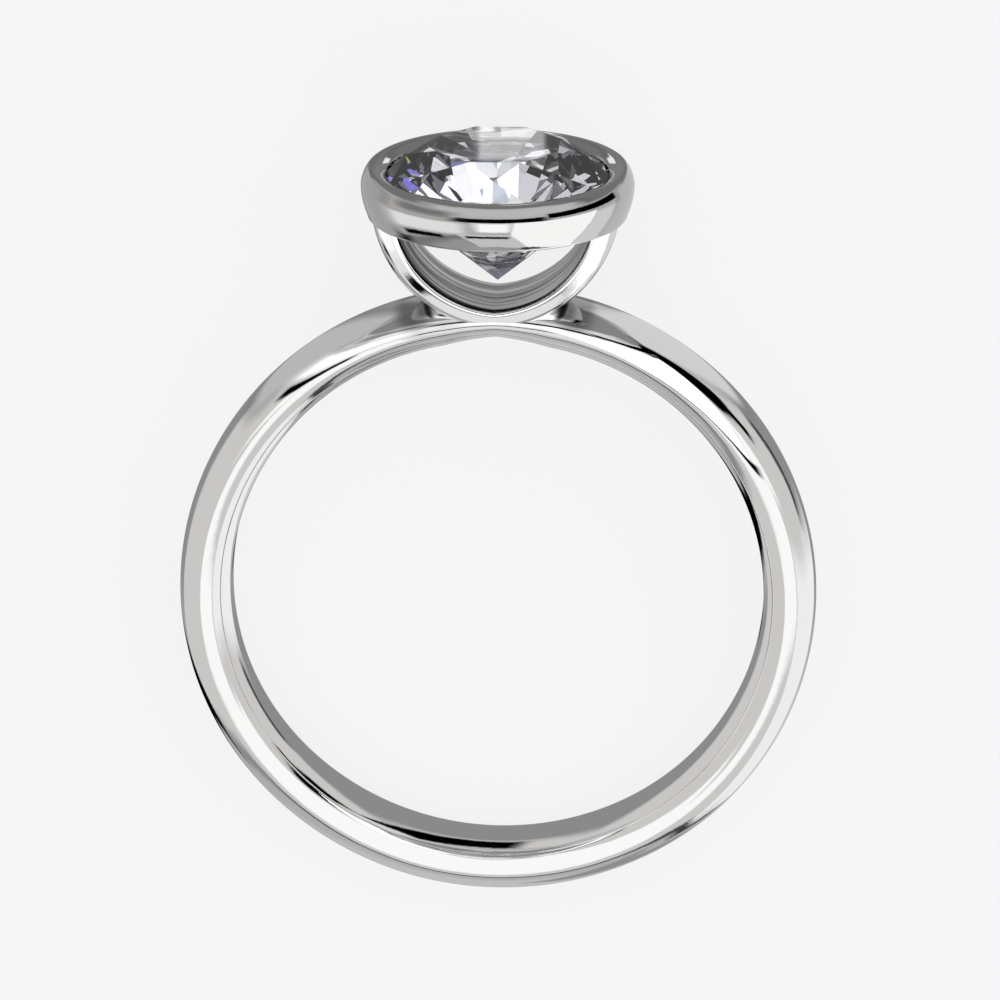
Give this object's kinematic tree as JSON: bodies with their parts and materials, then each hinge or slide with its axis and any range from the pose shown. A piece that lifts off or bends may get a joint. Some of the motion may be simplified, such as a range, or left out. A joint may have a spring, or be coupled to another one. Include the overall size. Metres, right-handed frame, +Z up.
{
  "type": "bezel set ring",
  "caption": "Polished comfort-fit finger ring with a round brilliant stone in a bezel cup carried on a U-shaped bow.",
  "frame": {"origin": "on the table under the middle of the ring as it lies on its side", "axes": "+Z up from the table; +Y from the band towards the stone; +X across the finger hole"},
  "size_m": [0.0196, 0.0242, 0.0083],
  "materials": {
    "polished_metal": "high polish, white precious metal",
    "clear_stone": "faceted and polished, colourless"
  },
  "bodies": {
    "root": {"band_and_bezel": "polished_metal", "stone": "clear_stone"}
  },
  "joints": []
}
